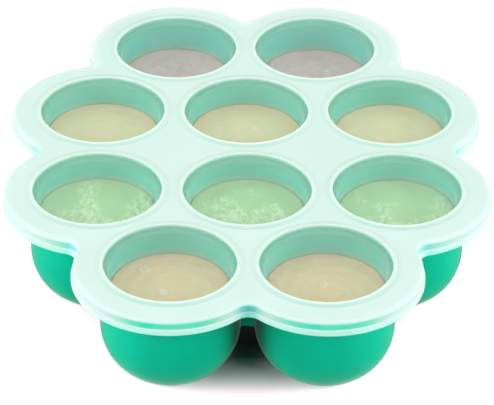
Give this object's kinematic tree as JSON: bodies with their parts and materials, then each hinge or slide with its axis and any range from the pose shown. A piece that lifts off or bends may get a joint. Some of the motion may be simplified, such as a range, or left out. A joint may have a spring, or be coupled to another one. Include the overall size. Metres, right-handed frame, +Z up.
{
  "type": "baby food freezer tray",
  "caption": "Flower-shaped soft freezer tray of round cups for baby food, with a frosted press-on lid that has a clear window over each cup and a portion of puree in each.",
  "frame": {"origin": "middle of the outline, on the plane that the cups stand on", "axes": "+X right, +Y to the back row of two cups, +Z up through the lid"},
  "size_m": [0.19, 0.2324, 0.0489],
  "materials": {
    "tray_silicone": "satin moulded silicone, sea green",
    "lid_frosted": "frosted soft plastic, pale mint, lets some light through",
    "window_clear": "thin milky clear plastic",
    "puree_mauve": "smooth moist puree",
    "puree_yellow": "smooth moist puree",
    "puree_green": "lumpy moist puree",
    "puree_orange": "smooth moist puree"
  },
  "bodies": {
    "tray": {"tray_web": "tray_silicone", "tray_rim": "tray_silicone", "tray_ribs": "tray_silicone", "cup_1": "tray_silicone", "cup_2": "tray_silicone", "cup_3": "tray_silicone", "cup_4": "tray_silicone", "cup_5": "tray_silicone", "cup_6": "tray_silicone", "cup_7": "tray_silicone", "cup_8": "tray_silicone", "cup_9": "tray_silicone", "cup_10": "tray_silicone"},
    "lid": {"lid_plate": "lid_frosted", "lid_skirt": "lid_frosted", "window_1": "window_clear", "window_2": "window_clear", "window_3": "window_clear", "window_4": "window_clear", "window_5": "window_clear", "window_6": "window_clear", "window_7": "window_clear", "window_8": "window_clear", "window_9": "window_clear", "window_10": "window_clear"},
    "portion_1": {"puree_1": "puree_mauve"},
    "portion_2": {"puree_2": "puree_mauve"},
    "portion_3": {"puree_3": "puree_yellow"},
    "portion_4": {"puree_4": "puree_yellow"},
    "portion_5": {"puree_5": "puree_yellow"},
    "portion_6": {"puree_6": "puree_green"},
    "portion_7": {"puree_7": "puree_green"},
    "portion_8": {"puree_8": "puree_green"},
    "portion_9": {"puree_9": "puree_orange"},
    "portion_10": {"puree_10": "puree_orange"}
  },
  "joints": [
    {"name": "lid_lift", "type": "slide", "parent": "tray", "child": "lid", "axis": [0, 0, 1], "range_m": [0, 0.12]},
    {"name": "portion_1_rise", "type": "slide", "parent": "tray", "child": "portion_1", "axis": [0, 0, 1], "range_m": [0, 0.0115]},
    {"name": "portion_2_rise", "type": "slide", "parent": "tray", "child": "portion_2", "axis": [0, 0, 1], "range_m": [0, 0.0115]},
    {"name": "portion_3_rise", "type": "slide", "parent": "tray", "child": "portion_3", "axis": [0, 0, 1], "range_m": [0, 0.0087]},
    {"name": "portion_4_rise", "type": "slide", "parent": "tray", "child": "portion_4", "axis": [0, 0, 1], "range_m": [0, 0.0087]},
    {"name": "portion_5_rise", "type": "slide", "parent": "tray", "child": "portion_5", "axis": [0, 0, 1], "range_m": [0, 0.0087]},
    {"name": "portion_6_rise", "type": "slide", "parent": "tray", "child": "portion_6", "axis": [0, 0, 1], "range_m": [0, 0.0077]},
    {"name": "portion_7_rise", "type": "slide", "parent": "tray", "child": "portion_7", "axis": [0, 0, 1], "range_m": [0, 0.0077]},
    {"name": "portion_8_rise", "type": "slide", "parent": "tray", "child": "portion_8", "axis": [0, 0, 1], "range_m": [0, 0.0077]},
    {"name": "portion_9_rise", "type": "slide", "parent": "tray", "child": "portion_9", "axis": [0, 0, 1], "range_m": [0, 0.0088]},
    {"name": "portion_10_rise", "type": "slide", "parent": "tray", "child": "portion_10", "axis": [0, 0, 1], "range_m": [0, 0.0088]}
  ]
}
